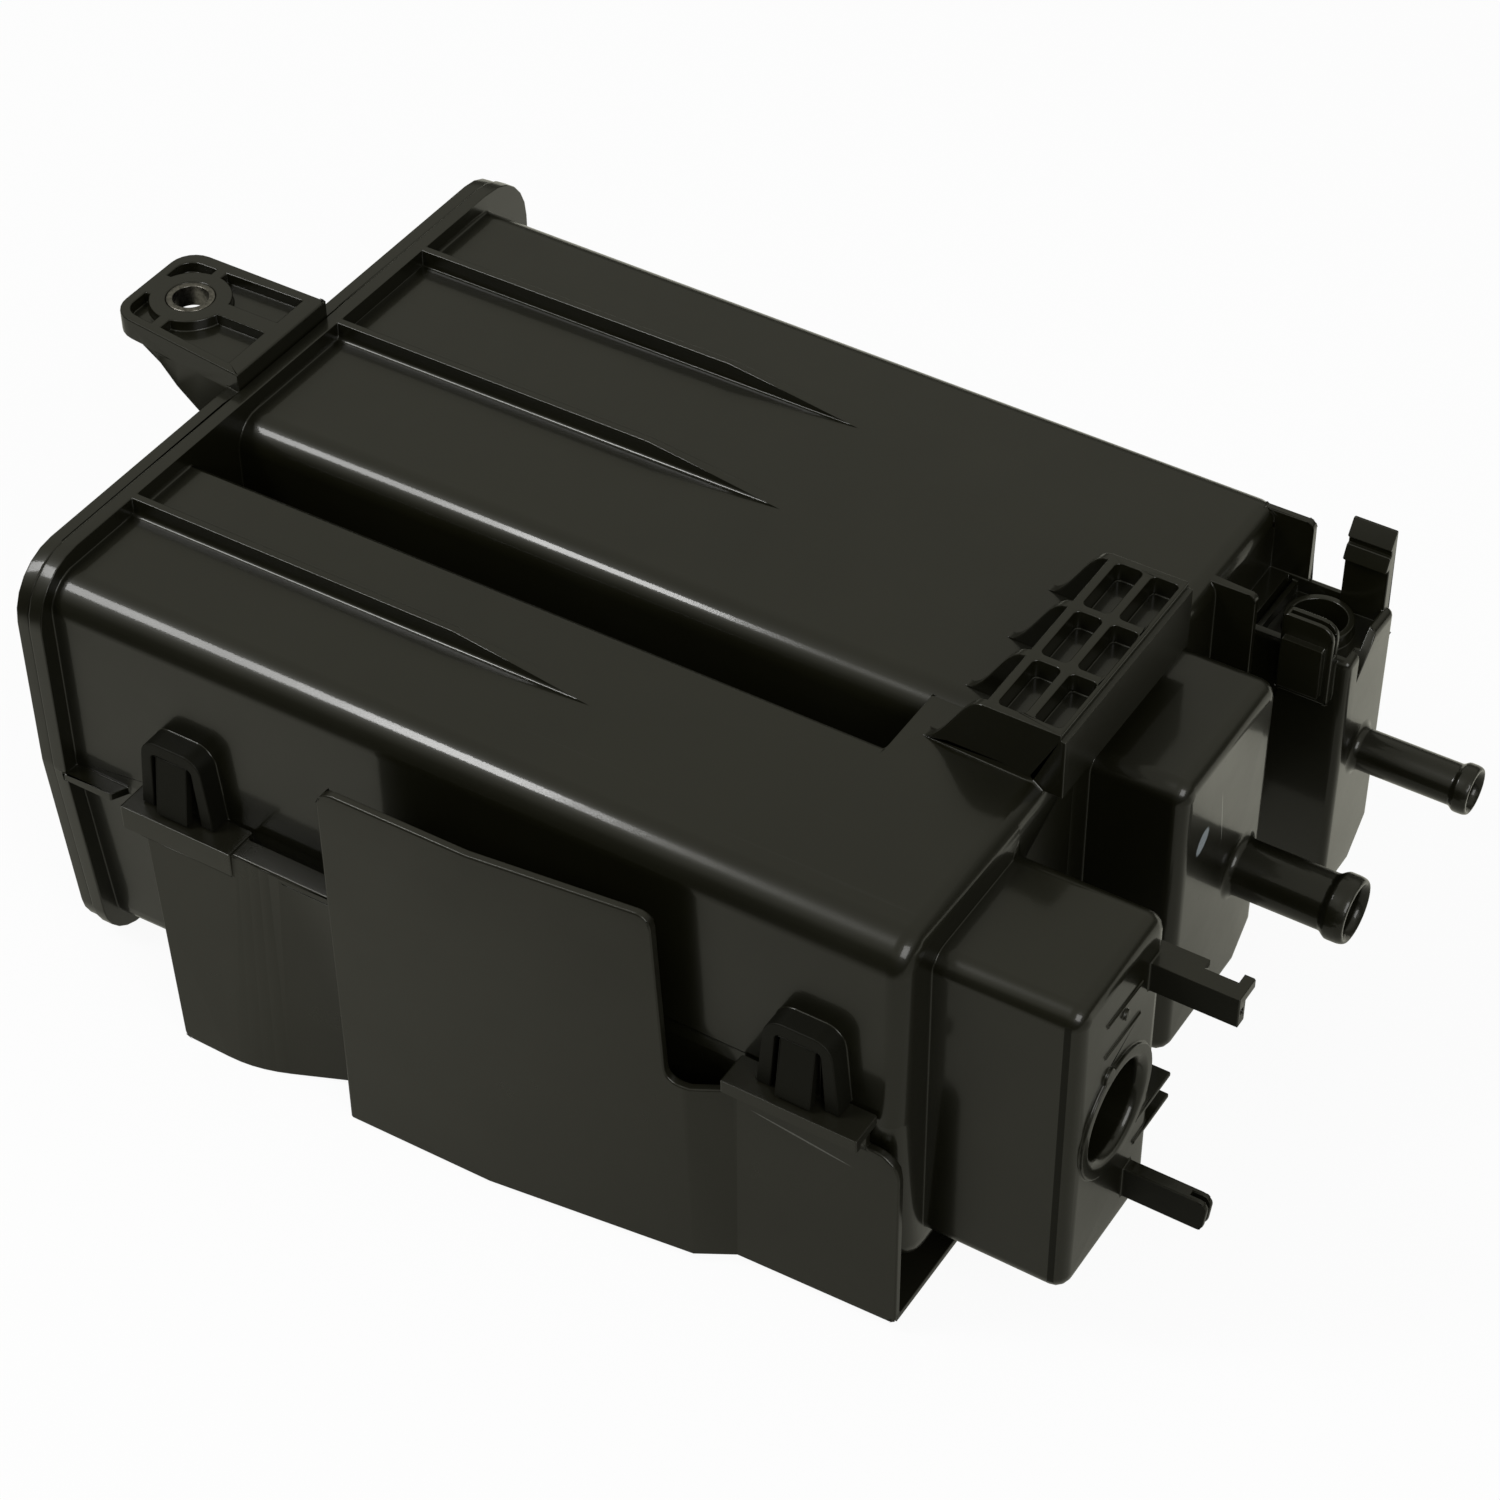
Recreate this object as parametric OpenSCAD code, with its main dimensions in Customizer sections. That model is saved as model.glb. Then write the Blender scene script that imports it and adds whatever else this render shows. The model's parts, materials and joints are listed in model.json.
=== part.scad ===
// Two-chamber charcoal canister for a fuel vapour system.
// The origin is on the axis of the mounting bolt, level with the top of its bush.
// +X runs along the canister to its hose ports, +Z is up, and millimetres are used throughout.

/* [Housing] */
// Length of the housing from its weld flange to its port end
body_length = 230; // [215:1:250]
// Height of the housing at the weld flange
body_height = 115; // [108:1:125]
// Width of the main chamber across its top
main_width = 109.5; // [105:0.5:120]
// Width of the vent chamber across its top
vent_width = 54.5; // [52:0.5:62]
// Width of the open groove between the chambers
groove_width = 17; // [13:0.5:22]
// Length of the groove from the flange to the bridge at the port end
groove_length = 193.5; // [180:0.5:196]
// Wall thickness of the housing and the cover
wall = 2.5; // [2:0.1:3]
// How much lower the port end is than the flange end
floor_rise = 7.5; // [4:0.5:10]
// Depth of the mould parting line below the top
parting_depth = 55; // [50:1:60]
// How far the side walls lean in below the parting line
side_lean = 6; // [3:0.5:8]
// How far the outer side of the main chamber swells out at the parting line
side_swell = 9; // [4:0.5:10]

/* [Weld flange] */
// Thickness of each half of the flange
flange_t = 4; // [3:0.5:5]
// How far the flange stands out above the housing and on the vent side
flange_lip = 4.5; // [4:0.1:6]
// How far the flange stands out on the main chamber's side
flange_side = 15; // [12:0.5:16]
// Corner radius of the flange
flange_r = 16; // [12:1:20]

/* [Mounting tab] */
// Distance from the bolt axis to the front face of the weld flange
bolt_to_flange = 34; // [30:1:40]
// Distance from the bolt axis to the groove side of the main chamber
bolt_to_groove = 27; // [24:0.5:32]
// Height of the tab above the top of the housing
tab_rise = 9; // [7.5:0.5:11]
// Thickness of the tab's top plate
tab_t = 6; // [5:0.5:8]
// Width of the tab at its free end
tab_width = 30; // [28:0.5:36]
// Bore of the steel bush
bush_bore = 9; // [8.4:0.1:9.4]
// Outside diameter of the steel bush
bush_od = 12.4; // [11.8:0.1:13.4]
// Radial clearance between the bush and the tab
bush_fit = 0.05; // [0.02:0.01:0.1]

/* [Ports] */
// Outside diameter of the tank hose stub
tank_od = 14.3; // [12:0.1:16]
// Bore of the tank hose stub
tank_bore = 11; // [8:0.1:11.4]
// Length of the tank hose stub
tank_length = 30.5; // [26:0.5:36]
// Outside diameter of the purge hose stub
purge_od = 10.6; // [9:0.1:12]
// Bore of the purge hose stub
purge_bore = 7.6; // [5:0.1:7.8]
// Length of the purge hose stub
purge_length = 30.5; // [26:0.5:36]
// Diameter of the fresh air hole
vent_bore = 24; // [20:0.5:26]
// Depth of the sleeve round the fresh air hole
vent_sleeve = 14; // [10:0.5:18]
// Diameter of the valve socket on the purge box
socket_bore = 13.5; // [11:0.5:14]

/* [Ribs and bracket] */
// Thickness of the long ribs on top
rib_t = 2.2; // [1.8:0.1:3]
// Length of the long ribs
rib_length = 130; // [115:1:140]
// Height of the bracket on the port end
bracket_h = 16; // [13:0.5:18]
// Pitch of the bracket's cross walls
bracket_pitch = 19.4; // [18:0.1:21]
// Wall thickness of the bracket
bracket_wall = 2.3; // [2:0.1:2.8]
// Depth of the bracket's pockets
pocket_depth = 5; // [4:0.5:8]

/* [Side shield] */
// Sheet thickness of the shield
shield_t = 2.2; // [1.8:0.1:2.6]
// Clearance between the shield and the housing
shield_gap = 0.5; // [0.3:0.1:0.8]
// Gap between the floor of the housing and the bottom of the shield at the flange end
shield_drop = 4.5; // [4:0.1:6]
// Height of the shield's middle panel above its ledges
panel_rise = 40.5; // [34:0.5:42]
// How far the loops stand out from the housing
loop_out = 6; // [5.5:0.1:7]

/* [Filling] */
// Thickness of the filter pads
filter_t = 4; // [3:0.5:6]
// Thickness of the pressure plates
plate_t = 3; // [2.5:0.1:4]
// Distance from the flange to the pressure plates
plate_x = 21; // [16:1:30]
// Clearance of everything inside the chambers
inner_gap = 0.3; // [0.2:0.05:0.5]
// Outside diameter of the pressure springs
spring_od = 22; // [18:0.5:24]
// Wire diameter of the pressure springs
spring_wire = 1.8; // [1.4:0.1:2.2]
// Turns in each pressure spring
spring_turns = 4; // [3:1:6]

/* [Hidden] */
$fn = 64;

// Finishes
black_plastic = [0.07, 0.07, 0.065];
black_shield = [0.09, 0.09, 0.085];
zinc_steel = [0.62, 0.62, 0.6];
carbon_black = [0.03, 0.03, 0.03];
felt_grey = [0.55, 0.55, 0.52];
spring_steel = [0.45, 0.45, 0.47];

// Roundings
arc_steps = 6;
nose_steps = 4;
edge_r = 9;
groove_r = 8;
small_r = 2;
nose_r = 5;
box_r = 5;
box_nose_r = 4;
sharp_r = 0.3;
overlap = 1;

// Sides of the two chambers, measured from the bolt axis
main_near = -bolt_to_groove;
main_far = main_near + main_width;
vent_far = main_near - groove_width;
vent_near = vent_far - vent_width;

// The main chamber narrows a little to the port end
far_taper = 2.4;

// Lengths along the canister
bed_rear = plate_x + plate_t + filter_t;
bed_front = body_length - wall - filter_t;
joint_x = -flange_t;
back_x = -2 * flange_t;
bridge_drop = 100;

// Straight-line blend of two lists of corners
function blend(a, b, s) = a + (b - a) * s;

// Unit vector along v
function unit(v) = v / norm(v);

// Plane vector v turned by an angle
function turned(v, angle) = [v.x * cos(angle) - v.y * sin(angle), v.x * sin(angle) + v.y * cos(angle)];

// Points of the arc that rounds the corner b between a and c
function corner_arc(a, b, c, r) =
    let (u = unit([a.x - b.x, a.y - b.y]))
    let (v = unit([c.x - b.x, c.y - b.y]))
    let (half = acos(u * v) / 2)
    let (centre = [b.x, b.y] + unit(u + v) * r / sin(half))
    let (start = [b.x, b.y] + u * r / tan(half) - centre)
    let (end = [b.x, b.y] + v * r / tan(half) - centre)
    let (way = cross(start, end) > 0 ? 1 : -1)
    [for (i = [0:arc_steps]) centre + turned(start, way * (180 - 2 * half) * i / arc_steps)];

// Outline with each corner [a, b, radius] rounded
function rounded(p) =
    let (n = len(p))
    [for (i = [0:n - 1]) each corner_arc(p[(i + n - 1) % n], p[i], p[(i + 1) % n], p[i].z)];

// Anticlockwise corners moved inwards by d, with their radii made smaller to suit
function inset(p, d) =
    let (n = len(p))
    [for (i = [0:n - 1])
        let (a = p[(i + n - 1) % n], b = p[i], c = p[(i + 1) % n])
        let (e = unit([b.x - a.x, b.y - a.y]), f = unit([c.x - b.x, c.y - b.y]))
        let (m = [-e.y, e.x], k = [-f.y, f.x])
        let (q = (m + k) * d / (1 + m * k))
        [b.x + q.x, b.y + q.y, max(b.z - d, sharp_r)]];

// Open line moved sideways by d, to its left
function beside(p, d) =
    let (n = len(p))
    [for (i = [0:n - 1])
        let (e = unit(i > 0 ? p[i] - p[i - 1] : p[1] - p[0]))
        let (f = unit(i < n - 1 ? p[i + 1] - p[i] : p[i] - p[i - 1]))
        let (m = [-e.y, e.x], k = [-f.y, f.x])
        p[i] + (m + k) * d / (1 + m * k)];

// Outline placed across the canister at x
function across(x, outline) = [for (q = outline) [x, q.x, q.y]];

// Solid through a row of sections that have the same number of points
module loft(sections) {
    n = len(sections[0]);
    m = len(sections);
    first = [for (i = [0:n - 1]) i];
    last = [for (i = [n - 1:-1:0]) (m - 1) * n + i];
    sides = [for (k = [0:m - 2], i = [0:n - 1], h = [0, 1])
        let (a = k * n + i, b = k * n + (i + 1) % n)
        h == 0 ? [a, a + n, b] : [b, a + n, b + n]];
    polyhedron([for (s = sections) each s], concat([first, last], sides));
}

// Box along X whose front edges are rounded
module nosed(rear, front, x0, x1, r) {
    nose = [for (i = [0:nose_steps])
        let (angle = 90 * i / nose_steps)
        across(x1 - r + r * sin(angle), rounded(inset(front, r * (1 - cos(angle)))))];
    loft(concat([across(x0, rounded(rear))], nose));
}

// Flat plate across the canister
module plate_across(outline, x0, x1) {
    translate([x0, 0, 0])
        rotate([90, 0, 90])
            linear_extrude(x1 - x0) polygon(outline);
}

// Flat plate along the canister, drawn in X and Z
module plate_along(outline, y0, y1) {
    translate([0, y1, 0])
        rotate([90, 0, 0])
            linear_extrude(y1 - y0) polygon(outline);
}

// Box between two corners
module block(low, high) {
    translate(low) cube(high - low);
}

// Cylinder along X
module bar_x(d, x0, x1, y, z) {
    translate([x0, y, z])
        rotate([0, 90, 0])
            cylinder(d = d, h = x1 - x0);
}

// From the housing's own datum, at the flange and the chamber tops, to the bolt
module from_bolt() {
    translate([bolt_to_flange, 0, -tab_rise]) children();
}

// Corners of the main chamber at the flange and at the port end
function main_corners(far, depth) = [
    [main_near, -depth, groove_r], [far + side_swell - side_lean, -depth, groove_r],
    [far + side_swell, -parting_depth, small_r], [far, 0, edge_r - 3], [main_near, 0, groove_r]];
main_rear = main_corners(main_far, body_height);
main_front = main_corners(main_far - far_taper, body_height - floor_rise);

// Corners of the vent chamber at the flange and at the port end
function vent_corners(depth) = [
    [vent_near + side_lean, -depth, groove_r], [vent_far, -depth, groove_r],
    [vent_far, 0, small_r], [vent_near, 0, edge_r], [vent_near - sharp_r, -parting_depth, small_r]];
vent_rear = vent_corners(body_height);
vent_front = vent_corners(body_height - floor_rise);

// Chamber corners at any x
function main_at(x) = blend(main_rear, main_front, x / body_length);
function vent_at(x) = blend(vent_rear, vent_front, x / body_length);

// Outline of the weld flange
flange = [
    [vent_near + side_lean - flange_lip, -body_height - flange_lip, flange_r - 2],
    [main_far + side_swell - side_lean + flange_lip, -body_height - flange_lip, flange_r - 2],
    [main_far + flange_side, -parting_depth, flange_r],
    [main_far + flange_side, flange_lip, flange_r],
    [vent_near - flange_lip, flange_lip, flange_r],
    [vent_near - flange_lip, -parting_depth, flange_r]];

// Port boxes: corners across the canister, front face and roof
vent_box_x = body_length + 36;
vent_box_far = vent_far - 3;
vent_box_width = 40;
vent_box_near = vent_box_far - vent_box_width;
vent_box_top = -10;
vent_box_floor = -100;
vent_axis = [(vent_box_near + vent_box_far) / 2, -56];
vent_box = [[vent_box_near, vent_box_floor, box_r], [vent_box_far, vent_box_floor, box_r],
            [vent_box_far, vent_box_top, box_r], [vent_box_near, vent_box_top, box_r]];

tank_box_x = body_length + 24;
tank_box_near = main_near + 11;
tank_box_far = tank_box_near + 47;
tank_box_top = -8;
tank_box_floor = -94;
tank_axis = [(tank_box_near + tank_box_far) / 2 + 10, -57];
chamfer = 9;
tank_box = [[tank_box_near, tank_box_floor, box_r], [tank_box_far - chamfer, tank_box_floor, small_r],
            [tank_box_far, tank_box_floor + chamfer, small_r], [tank_box_far, tank_box_top, box_r],
            [tank_box_near, tank_box_top, box_r]];

purge_box_x = body_length + 32;
purge_box_far = main_far - 4.4;
purge_box_near = purge_box_far - 25;
purge_box_top = -18;
purge_box_floor = -94;
purge_axis = [(purge_box_near + purge_box_far) / 2, -53.3];
purge_box = [[purge_box_near, purge_box_floor, box_r], [purge_box_far - chamfer, purge_box_floor, small_r],
             [purge_box_far, purge_box_floor + chamfer, small_r], [purge_box_far, purge_box_top, small_r],
             [purge_box_near, purge_box_top, small_r]];
tray_depth = 4;
tray_rim = 2.4;
tray_floor = purge_box_top - tray_depth;
socket_x = body_length + 18;
socket_depth = 8;
socket_collar = 17;

// Hose stub along X with a swelling bead at its end and a fillet at its root
bead_share = 0.48;
bead_h = 0.09;
lip_h = 0.06;
bead_steps = 6;

// Side of the bead: a smooth rise, a short land and a rounded end
function bead_side(od, length) =
    let (l = od * bead_share, r = od / 2, top = r + od * bead_h)
    concat([for (i = [0:bead_steps])
                let (t = i / bead_steps)
                [r + od * bead_h * (1 - cos(180 * t)) / 2, length - l + 0.38 * l * t]],
           [for (i = [0:bead_steps])
                let (a = 90 * i / bead_steps)
                [top - od * lip_h * (1 - cos(a)), length - 0.35 * l + 0.35 * l * sin(a)]]);

module stub(od, x0, length, axis) {
    root_r = 2;
    translate([x0, axis.x, axis.y])
        rotate([0, 90, 0]) {
            rotate_extrude()
                polygon(concat([[0, -overlap], [od / 2, -overlap]], bead_side(od, length), [[0, length]]));
            rotate_extrude()
                difference() {
                    square([od / 2 + root_r, root_r]);
                    translate([od / 2 + root_r, root_r]) circle(r = root_r);
                }
        }
}

// Bore of a stub, with a flared mouth
module stub_bore(od, bore, x0, length, axis) {
    flare = 2.5;
    rim = od / 2 + od * (bead_h - lip_h);
    mouth = bore / 2 + (rim - bore / 2) * 0.75;
    slope = (mouth - bore / 2 + sharp_r) / flare;
    bar_x(bore, x0 - wall - overlap, x0 + length + overlap, axis.x, axis.y);
    translate([x0 + length - flare, axis.x, axis.y])
        rotate([0, 90, 0])
            cylinder(r1 = bore / 2 - sharp_r, r2 = mouth + slope * overlap, h = flare + overlap);
}

// Long gusset rib on top, running out to nothing
module long_rib(y) {
    full = rib_length * 0.71;
    side = [[-overlap, -overlap], [rib_length, -overlap], [rib_length, 0], [full, flange_lip],
            [-overlap, flange_lip]];
    plate_along(side, y - rib_t / 2, y + rib_t / 2);
}

// Bracket on the port end: cross walls with curved tails, long walls and shallow pockets
bracket_front = body_length + 3.7;
bracket_rear = bracket_front - 20.5;
bracket_near = main_near - 8.9;
bracket_far = bracket_near + 3 * bracket_pitch;
bracket_tail = 15.2;
tail_steps = 10;
function tail_side() = concat(
    [for (i = [0:tail_steps])
        let (s = i / tail_steps)
        [bracket_rear - bracket_tail * (1 - s), bracket_h * (1 - cos(180 * s)) / 2]],
    [[bracket_rear + overlap, bracket_h], [bracket_rear + overlap, -overlap],
     [bracket_rear - bracket_tail, -overlap]]);

module bracket() {
    half = bracket_wall / 2;
    pocket_x = (bracket_front - bracket_rear - 3 * bracket_wall) / 2;
    difference() {
        block([bracket_rear, bracket_near - half, -small_r],
              [bracket_front, bracket_far + half, bracket_h]);
        for (i = [0:2], k = [0, 1]) {
            x = bracket_rear + bracket_wall + k * (pocket_x + bracket_wall);
            y = bracket_near + i * bracket_pitch;
            translate([0, 0, bracket_h - pocket_depth])
                linear_extrude(pocket_depth + overlap)
                    polygon(rounded([[x, y + half, 1.5], [x + pocket_x, y + half, 1.5],
                                     [x + pocket_x, y + bracket_pitch - half, 1.5],
                                     [x, y + bracket_pitch - half, 1.5]]));
        }
        // Step along the front edge
        block([bracket_front - 1.2, 2 * vent_near, bracket_h - 1.6],
              [bracket_front + overlap, main_far, bracket_h + overlap]);
        // Cored out from the rear below the pockets
        for (i = [0:2]) {
            y = bracket_near + i * bracket_pitch;
            block([bracket_rear - overlap, y + half, small_r],
                  [bracket_front - bracket_wall, y + bracket_pitch - half,
                   bracket_h - pocket_depth - bracket_wall]);
        }
    }
    for (i = [0:3]) {
        y = bracket_near + i * bracket_pitch;
        plate_along(tail_side(), y - half, y + half);
    }
}

// Bridge that closes the groove at the port end, flush with the chambers and open below
module bridge() {
    side = rounded([[groove_length, -bridge_drop, sharp_r], [body_length, -bridge_drop, sharp_r],
                    [body_length, 0, nose_r], [groove_length, 0, sharp_r]]);
    difference() {
        plate_along(side, vent_far - nose_r, main_near + 3);
        block([groove_length + wall, vent_far, -bridge_drop - overlap], [body_length - wall, main_near, -wall]);
    }
}

// Guide plate that stands out of the port end beside the valve socket
module guide_plate(y) {
    out = 10;
    side = rounded([[body_length - overlap - wall, -60, sharp_r], [body_length + out, -60, sharp_r],
                    [body_length + out, -1, small_r], [body_length - overlap - wall, -1, sharp_r]]);
    plate_along(side, y - 1, y + 1);
}

// Clip arms that hold the valve on the purge box
arm_x = body_length + 15;
arm_width = 12.5;
near_arm_top = -7;
near_arm_foot = -30;
far_arm_top = 4.5;
arm_t = 3;
hook = 2.5;

module near_arm() {
    y = purge_box_near - arm_t;
    leaf = 1.2;
    side = rounded([[arm_x, near_arm_foot, sharp_r], [arm_x + arm_width + 0.8, near_arm_foot, sharp_r],
                    [arm_x + arm_width + 0.8, near_arm_top, 4], [arm_x, near_arm_top, 1.5]]);
    difference() {
        plate_along(side, y, purge_box_near + sharp_r + leaf - 1);
        block([arm_x + 1.5, y + leaf, near_arm_top - 9],
              [arm_x + 2 * arm_width, purge_box_near + sharp_r - 1, near_arm_top + overlap]);
    }
    block([arm_x + 1, y - 1.8, near_arm_foot + 2.5], [arm_x + arm_width - 1, y + leaf, near_arm_top - 6]);
}

// Outer arm: a lead-in slope with a ridge, then the catch
module far_arm() {
    outer = purge_box_far;
    y = outer - arm_t;
    catch = far_arm_top - 10;
    profile = [[y, purge_box_top - 8], [outer, purge_box_top - 8], [outer, far_arm_top],
               [outer - 0.6, far_arm_top], [y - 0.35, far_arm_top - 4.2], [y + 0.5, far_arm_top - 4.8],
               [y + 0.5, far_arm_top - 6.2], [y - 0.2, far_arm_top - 6.4], [y - 1.9, catch],
               [y, catch - 0.3]];
    plate_across(profile, arm_x + 4, arm_x + 4 + arm_width - 1.3);
}

// Fingers on the vent box that hold the valve's plug and cable
finger_length = 21.5;
module upper_finger() {
    y = vent_box_far - 8;
    z = -20;
    x = vent_box_x - overlap;
    tip = vent_box_x + finger_length;
    difference() {
        union() {
            block([x, y, z - 8.5], [tip, y + 3, z]);
            block([x, y, z - 2.5], [x + 0.54 * finger_length, y + 7.5, z]);
            block([x, y, z - 2.5], [tip, y + 4.6, z]);
            block([tip - 2.6, y, z - 2.5], [tip, y + 7.5, z]);
            block([x, y, z - 8.5], [tip - 2, y + 6, z - 6.5]);
        }
        translate([tip, y + 1.5, z - 4.5])
            rotate([0, 90, 0])
                cylinder(d = 1.6, h = 8, center = true, $fn = 24);
    }
}

module lower_finger() {
    y = vent_box_far - 13;
    z = -82;
    x = vent_box_x - overlap;
    tip = vent_box_x + finger_length;
    difference() {
        plate_along(rounded([[x, z - 9.5, sharp_r], [tip - 1, z - 9.5, 2.5], [tip, z, 2.5], [x, z, sharp_r]]),
                    y, y + 3.6);
        block([tip - 5, y + 1.3, z - 20], [tip + overlap, y + 2.3, z + 20]);
    }
}

// Two thin fins on the groove side of the vent box, which run on to its face
module vent_fins() {
    for (z = [-69.8, -77])
        block([vent_box_x - 20, vent_box_far - 9, z - 0.6], [vent_box_x + 0.5, vent_box_far + 8, z + 0.6]);
}

// Thin raised lines, a stud and a bump on the face of the vent box
module face_marks() {
    x = vent_box_x - overlap;
    low = vent_axis.x - 7.4;
    for (z = [-22.8, -32.5])
        block([x, low, z - 0.4], [vent_box_x + 0.5, low + 16.2, z + 0.4]);
    bar_x(2.6, x, vent_box_x + 0.7, vent_axis.x + 1.2, -26.3);
    bar_x(4.4, x, vent_box_x + 0.8, vent_axis.x - 5, vent_axis.y + 15.7);
}

// Fresh air hole with a rounded mouth
module vent_hole() {
    mouth_r = 2.5;
    face = vent_box_x + ring_rise;
    bar_x(vent_bore, vent_box_x - vent_sleeve - overlap, vent_box_x + 2, vent_axis.x, vent_axis.y);
    translate([face, vent_axis.x, vent_axis.y])
        rotate([0, 90, 0])
            rotate_extrude()
                difference() {
                    translate([vent_bore / 2 - overlap, -mouth_r]) square(mouth_r + overlap);
                    translate([vent_bore / 2 + mouth_r, -mouth_r]) circle(r = mouth_r);
                }
}
ring_rise = 0.8;

// Loops on the vent side, each with a spring tongue that holds a lug of the shield
ledge_z = -parting_depth + 4;
loop_foot = ledge_z + inner_gap;
loop_top = loop_foot + 21;
rear_loop_x = 36;
front_loop_x = body_length - 22.8;
loop_half = 10.6;
loop_window = 7;
loop_bar = 3.7;

module snap_loop(x) {
    y0 = vent_near - loop_out;
    face = rounded([[x - loop_half, loop_foot, sharp_r], [x + loop_half, loop_foot, sharp_r],
                    [x + loop_half - 2.2, loop_top, 5], [x - loop_half + 2.2, loop_top, 5]]);
    window = rounded([[x - loop_window, loop_foot - overlap, sharp_r],
                      [x + loop_window, loop_foot - overlap, sharp_r],
                      [x + loop_window - 1.2, loop_top - loop_bar, 1.5],
                      [x - loop_window + 1.2, loop_top - loop_bar, 1.5]]);
    difference() {
        plate_along(face, y0, vent_near + overlap);
        plate_along(window, y0 - overlap, vent_near - sharp_r);
    }
    tongue = [[y0 + 2.4, loop_top - loop_bar + overlap], [y0 + 0.4, loop_top - loop_bar + overlap],
              [y0 - 2.2, loop_foot + 0.5], [y0 - 0.2, loop_foot + 0.5]];
    plate_across(tongue, x - 4.5, x + 4.5);
}

// Short ledge at the parting line, in the corner of the flange
module side_ledge() {
    plan = [[-overlap, vent_near - flange_lip], [13.5, vent_near - flange_lip], [16.5, vent_near + overlap],
            [-overlap, vent_near + overlap]];
    translate([0, 0, -parting_depth - 3]) linear_extrude(2.3) polygon(plan);
}

// Divider inside the main chamber that keeps the tank and purge ports apart
divider_y = (tank_box_far + purge_box_near) / 2;
divider_length = 45;

// Hollows of the chambers and the boxes
module hollows() {
    open_x = joint_x - overlap;
    difference() {
        nosed(inset(main_at(open_x), wall), inset(main_front, wall),
              open_x, body_length - wall, nose_r - wall);
        block([body_length - divider_length, divider_y - 1, -2 * body_height],
              [2 * body_length, divider_y + 1, body_height]);
    }
    nosed(inset(vent_at(open_x), wall), inset(vent_front, wall), open_x, body_length - wall, nose_r - wall);
    inside = body_length - wall - overlap;
    plate_across(rounded(inset(vent_box, wall)), inside, vent_box_x - wall);
    plate_across(rounded(inset(tank_box, wall)), inside, tank_box_x - wall);
    low_purge = [for (p = purge_box) [p.x, min(p.y, tray_floor - socket_depth), p.z]];
    plate_across(rounded(inset(low_purge, wall)), inside, purge_box_x - wall);
}

// Open tray on top of the purge box, with its notch and the valve socket
module tray_cuts() {
    tray_x = body_length + 5;
    block([tray_x, purge_box_near + tray_rim, tray_floor],
          [purge_box_x - tray_rim, purge_box_far - tray_rim, purge_box_top + overlap]);
    notch_y = purge_box_near + tray_rim + 3;
    notch = [[notch_y, purge_box_top + overlap], [notch_y, purge_box_top - 9],
             [notch_y + 11, purge_box_top + overlap]];
    plate_across(notch, purge_box_x - tray_rim - overlap, purge_box_x + overlap);
}

module valve_socket() {
    translate([socket_x, purge_axis.x, tray_floor - overlap])
        cylinder(d = socket_collar, h = tray_depth + overlap - sharp_r);
    ridge_x = body_length + 6.4;
    block([ridge_x, purge_box_near + 1, tray_floor - overlap],
          [ridge_x + 1.2, purge_box_far - 1, purge_box_top - 1.2]);
}

module housing() {
    color(black_plastic)
        from_bolt()
            difference() {
                union() {
                    difference() {
                        union() {
                            plate_across(rounded(flange), joint_x, 0);
                            nosed(main_rear, main_front, joint_x + overlap, body_length, nose_r);
                            nosed(vent_rear, vent_front, joint_x + overlap, body_length, nose_r);
                            bridge();
                            bracket();
                            nosed(vent_box, vent_box, body_length - nose_r, vent_box_x, box_nose_r);
                            nosed(tank_box, tank_box, body_length - nose_r, tank_box_x, box_nose_r);
                            nosed(purge_box, purge_box, body_length - nose_r, purge_box_x, small_r);
                            long_rib(main_near + 79.4);
                            long_rib(main_near + 43);
                            long_rib(vent_far - 21.5);
                            guide_plate(divider_y + 4);
                            guide_plate(purge_box_far - 1);
                            side_ledge();
                            snap_loop(rear_loop_x);
                            snap_loop(front_loop_x);
                        }
                        hollows();
                        tray_cuts();
                    }
                    near_arm();
                    far_arm();
                    upper_finger();
                    lower_finger();
                    vent_fins();
                    face_marks();
                    valve_socket();
                    stub(tank_od, tank_box_x, tank_length, tank_axis);
                    stub(purge_od, purge_box_x, purge_length, purge_axis);
                    bar_x(vent_bore + 9, vent_box_x - overlap, vent_box_x + ring_rise,
                          vent_axis.x, vent_axis.y);
                    bar_x(vent_bore + 4, vent_box_x - vent_sleeve, vent_box_x, vent_axis.x, vent_axis.y);
                }
                stub_bore(tank_od, tank_bore, tank_box_x, tank_length, tank_axis);
                stub_bore(purge_od, purge_bore, purge_box_x, purge_length, purge_axis);
                vent_hole();
                translate([socket_x, purge_axis.x, tray_floor - socket_depth - 2 * wall])
                    cylinder(d = socket_bore, h = 4 * socket_depth);
            }
}

// Dished middle of the cover
cover_step = 0.6;
dish_depth = 10;
dish_edge = 12;
dish_step = 4;
body_outline = inset(flange, flange_lip);
dish_x = back_x - dish_depth;

module cover_dish() {
    loft([across(dish_x, rounded(inset(body_outline, dish_edge + dish_step))),
          across(back_x + overlap, rounded(inset(body_outline, dish_edge)))]);
}

// Waffle of stiffening ribs on the back of the cover
module cover_ribs() {
    proud = 2;
    intersection() {
        loft([across(dish_x - proud, rounded(inset(flange, flange_lip + dish_edge + dish_step + 4))),
              across(back_x + overlap, rounded(inset(flange, 3)))]);
        union() {
            for (i = [-2:3])
                block([dish_x - proud, i * 32 - rib_t / 2 - 8, -2 * body_height],
                      [back_x + overlap, i * 32 + rib_t / 2 - 8, body_height]);
            for (i = [1:3])
                block([dish_x - proud, -2 * main_width, -i * body_height / 4 - rib_t / 2],
                      [back_x + overlap, 2 * main_width, -i * body_height / 4 + rib_t / 2]);
        }
    }
}

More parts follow.
